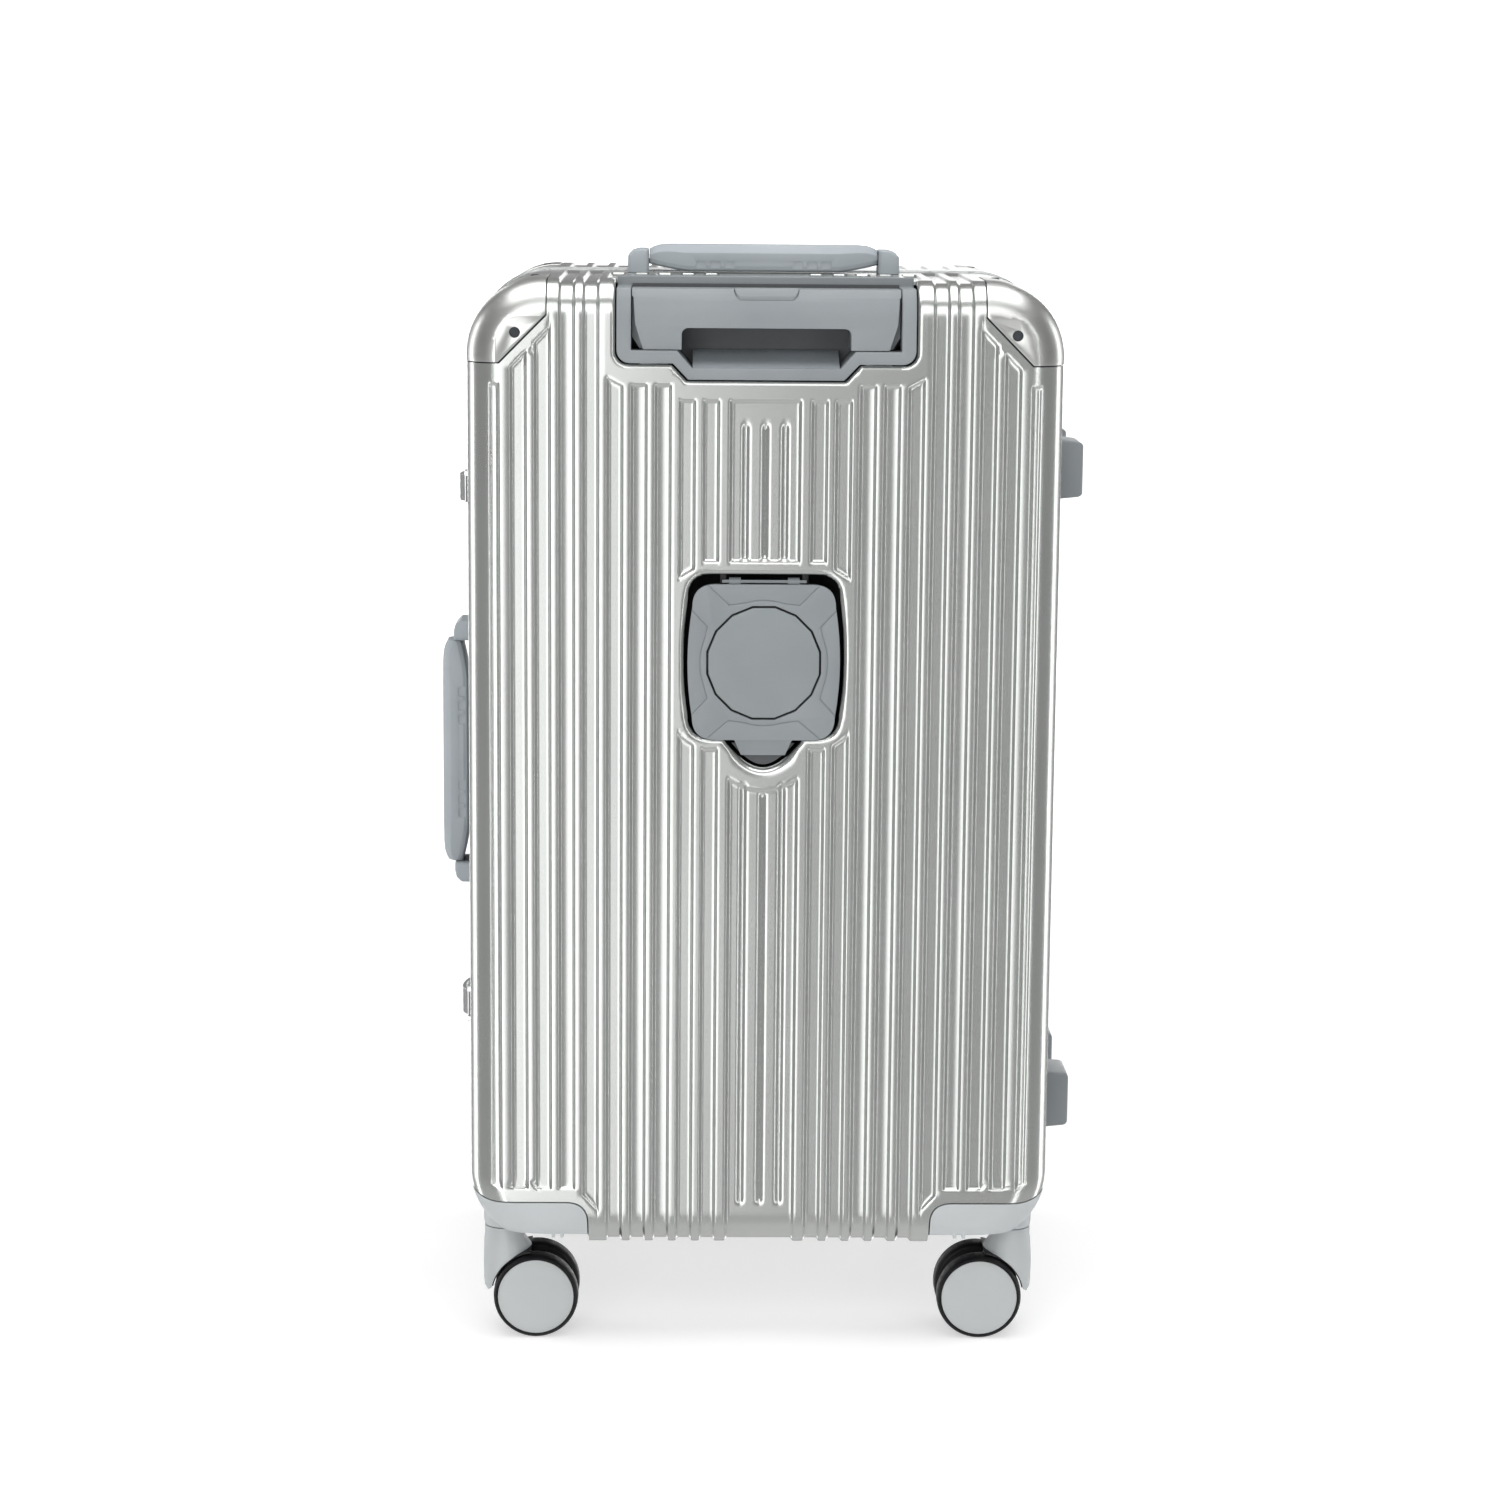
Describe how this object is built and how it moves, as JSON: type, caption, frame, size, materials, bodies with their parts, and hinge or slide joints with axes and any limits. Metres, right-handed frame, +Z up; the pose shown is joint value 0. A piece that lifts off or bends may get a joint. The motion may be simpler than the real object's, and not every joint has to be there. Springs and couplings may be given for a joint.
{
  "type": "hard shell suitcase",
  "caption": "Tall hard-shell suitcase with an aluminium frame, twin swivel casters, a telescopic trolley handle, carry handles, latches, side feet and a fold-out cup holder.",
  "frame": {"origin": "on the floor under the middle of the standing case's bounding box", "axes": "+Z up; -Y out of the rear face with the trolley and cup holder, +Y out of the front face; -X towards the side handle and latches, +X towards the lid hinge and side feet"},
  "size_m": [0.4522, 0.3412, 0.7647],
  "materials": {
    "shell": "silver metallic polycarbonate, satin",
    "frame": "satin anodised extrusion",
    "guard": "brushed",
    "grey_plastic": "fine moulded texture, blue-grey",
    "pale_plastic": "fine moulded texture, pale blue-grey",
    "black_plastic": "fine moulded texture",
    "tyre": "smooth polyurethane tread",
    "tube": "satin anodised",
    "latch_metal": "satin plated",
    "lining": "woven polyester",
    "strap": "woven webbing"
  },
  "bodies": {
    "rear_half": {"rear_shell": "shell", "rear_frame": "frame", "corner_guard_rear_left": "guard", "corner_guard_rear_right": "guard", "caster_housing_rear_left": "pale_plastic", "caster_housing_rear_right": "pale_plastic", "rear_lining": "lining", "packing_straps": "strap", "trolley_bezel": "grey_plastic", "trolley_outer_tube_left": "tube", "trolley_outer_tube_right": "tube", "trolley_foot_bracket": "black_plastic", "cup_tray": "black_plastic", "top_handle_post_left": "grey_plastic", "top_handle_post_right": "grey_plastic", "side_handle_post_lower": "grey_plastic", "side_handle_post_upper": "grey_plastic", "latch_base_upper": "latch_metal", "latch_base_lower": "latch_metal", "hinge_leaf_rear": "latch_metal", "hinge_pin": "latch_metal", "side_foot_rear_upper": "grey_plastic", "side_foot_rear_lower": "grey_plastic"},
    "front_half": {"front_shell": "shell", "front_frame": "frame", "corner_guard_front_left": "guard", "corner_guard_front_right": "guard", "caster_housing_front_left": "pale_plastic", "caster_housing_front_right": "pale_plastic", "front_lining": "lining", "zip_pocket": "lining", "latch_catch_upper": "latch_metal", "latch_catch_lower": "latch_metal", "hinge_leaf_front": "latch_metal", "side_foot_front_upper": "grey_plastic", "side_foot_front_lower": "grey_plastic"},
    "trolley_mid_stage": {"trolley_mid_tube_left": "tube", "trolley_mid_tube_right": "tube"},
    "trolley_top_stage": {"trolley_inner_tube_left": "tube", "trolley_inner_tube_right": "tube", "trolley_grip": "grey_plastic"},
    "trolley_button": {"trolley_button": "grey_plastic"},
    "top_handle": {"top_handle_grip": "grey_plastic"},
    "side_handle": {"side_handle_grip": "grey_plastic"},
    "latch_lever_upper": {"latch_lever_upper": "latch_metal"},
    "latch_lever_lower": {"latch_lever_lower": "latch_metal"},
    "cup_flap": {"cup_flap": "grey_plastic"},
    "cup_disc": {"cup_disc": "grey_plastic"},
    "caster_rear_left": {"caster_fork_rear_left": "pale_plastic"},
    "wheel_outer_rear_left": {"wheel_outer_rear_left": "tyre"},
    "wheel_inner_rear_left": {"wheel_inner_rear_left": "tyre"},
    "caster_rear_right": {"caster_fork_rear_right": "pale_plastic"},
    "wheel_outer_rear_right": {"wheel_outer_rear_right": "tyre"},
    "wheel_inner_rear_right": {"wheel_inner_rear_right": "tyre"},
    "caster_front_left": {"caster_fork_front_left": "pale_plastic"},
    "wheel_outer_front_left": {"wheel_outer_front_left": "tyre"},
    "wheel_inner_front_left": {"wheel_inner_front_left": "tyre"},
    "caster_front_right": {"caster_fork_front_right": "pale_plastic"},
    "wheel_outer_front_right": {"wheel_outer_front_right": "tyre"},
    "wheel_inner_front_right": {"wheel_inner_front_right": "tyre"}
  },
  "joints": [
    {"name": "lid_hinge", "type": "hinge", "parent": "rear_half", "child": "front_half", "pos_m": [0.2084, 0, 0.4075], "axis": [0, 0, -1], "range_deg": [0, 95]},
    {"name": "trolley_mid_slide", "type": "slide", "parent": "rear_half", "child": "trolley_mid_stage", "axis": [0, 0, 1], "range_m": [0, 0.16]},
    {"name": "trolley_top_slide", "type": "slide", "parent": "trolley_mid_stage", "child": "trolley_top_stage", "axis": [0, 0, 1], "range_m": [0, 0.16]},
    {"name": "trolley_button_press", "type": "slide", "parent": "trolley_top_stage", "child": "trolley_button", "axis": [0, 0, -1], "range_m": [0, 0.003], "stiffness_N_per_m": 400, "springref_m": -0.001},
    {"name": "top_handle_lift", "type": "slide", "parent": "rear_half", "child": "top_handle", "axis": [0, 0, 1], "range_m": [0, 0.005]},
    {"name": "side_handle_push", "type": "slide", "parent": "rear_half", "child": "side_handle", "axis": [1, 0, 0], "range_m": [0, 0.005]},
    {"name": "latch_upper_lift", "type": "hinge", "parent": "rear_half", "child": "latch_lever_upper", "pos_m": [-0.209, -0.024, 0.59], "axis": [0, 0, 1], "range_deg": [0, 100]},
    {"name": "latch_lower_lift", "type": "hinge", "parent": "rear_half", "child": "latch_lever_lower", "pos_m": [-0.209, -0.024, 0.2115], "axis": [0, 0, 1], "range_deg": [0, 100]},
    {"name": "cup_flap_swing", "type": "hinge", "parent": "rear_half", "child": "cup_flap", "pos_m": [0, -0.164, 0.541], "axis": [-1, 0, 0], "range_deg": [0, 90]},
    {"name": "cup_disc_drop", "type": "slide", "parent": "cup_flap", "child": "cup_disc", "axis": [0, 1, 0], "range_m": [0, 0.034]},
    {"name": "caster_swivel_rear_left", "type": "hinge", "parent": "rear_half", "child": "caster_rear_left", "pos_m": [-0.18, -0.13, 0.075], "axis": [0, 0, 1], "continuous": true},
    {"name": "wheel_outer_spin_rear_left", "type": "hinge", "parent": "caster_rear_left", "child": "wheel_outer_rear_left", "pos_m": [-0.157, -0.13, 0.02974], "axis": [0, 1, 0], "continuous": true},
    {"name": "wheel_inner_spin_rear_left", "type": "hinge", "parent": "caster_rear_left", "child": "wheel_inner_rear_left", "pos_m": [-0.157, -0.13, 0.02974], "axis": [0, 1, 0], "continuous": true},
    {"name": "caster_swivel_rear_right", "type": "hinge", "parent": "rear_half", "child": "caster_rear_right", "pos_m": [0.18, -0.13, 0.075], "axis": [0, 0, 1], "continuous": true},
    {"name": "wheel_outer_spin_rear_right", "type": "hinge", "parent": "caster_rear_right", "child": "wheel_outer_rear_right", "pos_m": [0.157, -0.13, 0.02974], "axis": [0, 1, 0], "continuous": true},
    {"name": "wheel_inner_spin_rear_right", "type": "hinge", "parent": "caster_rear_right", "child": "wheel_inner_rear_right", "pos_m": [0.157, -0.13, 0.02974], "axis": [0, 1, 0], "continuous": true},
    {"name": "caster_swivel_front_left", "type": "hinge", "parent": "front_half", "child": "caster_front_left", "pos_m": [-0.18, 0.13, 0.075], "axis": [0, 0, 1], "continuous": true},
    {"name": "wheel_outer_spin_front_left", "type": "hinge", "parent": "caster_front_left", "child": "wheel_outer_front_left", "pos_m": [-0.157, 0.13, 0.02974], "axis": [0, 1, 0], "continuous": true},
    {"name": "wheel_inner_spin_front_left", "type": "hinge", "parent": "caster_front_left", "child": "wheel_inner_front_left", "pos_m": [-0.157, 0.13, 0.02974], "axis": [0, 1, 0], "continuous": true},
    {"name": "caster_swivel_front_right", "type": "hinge", "parent": "front_half", "child": "caster_front_right", "pos_m": [0.18, 0.13, 0.075], "axis": [0, 0, 1], "continuous": true},
    {"name": "wheel_outer_spin_front_right", "type": "hinge", "parent": "caster_front_right", "child": "wheel_outer_front_right", "pos_m": [0.157, 0.13, 0.02974], "axis": [0, 1, 0], "continuous": true},
    {"name": "wheel_inner_spin_front_right", "type": "hinge", "parent": "caster_front_right", "child": "wheel_inner_front_right", "pos_m": [0.157, 0.13, 0.02974], "axis": [0, 1, 0], "continuous": true}
  ]
}
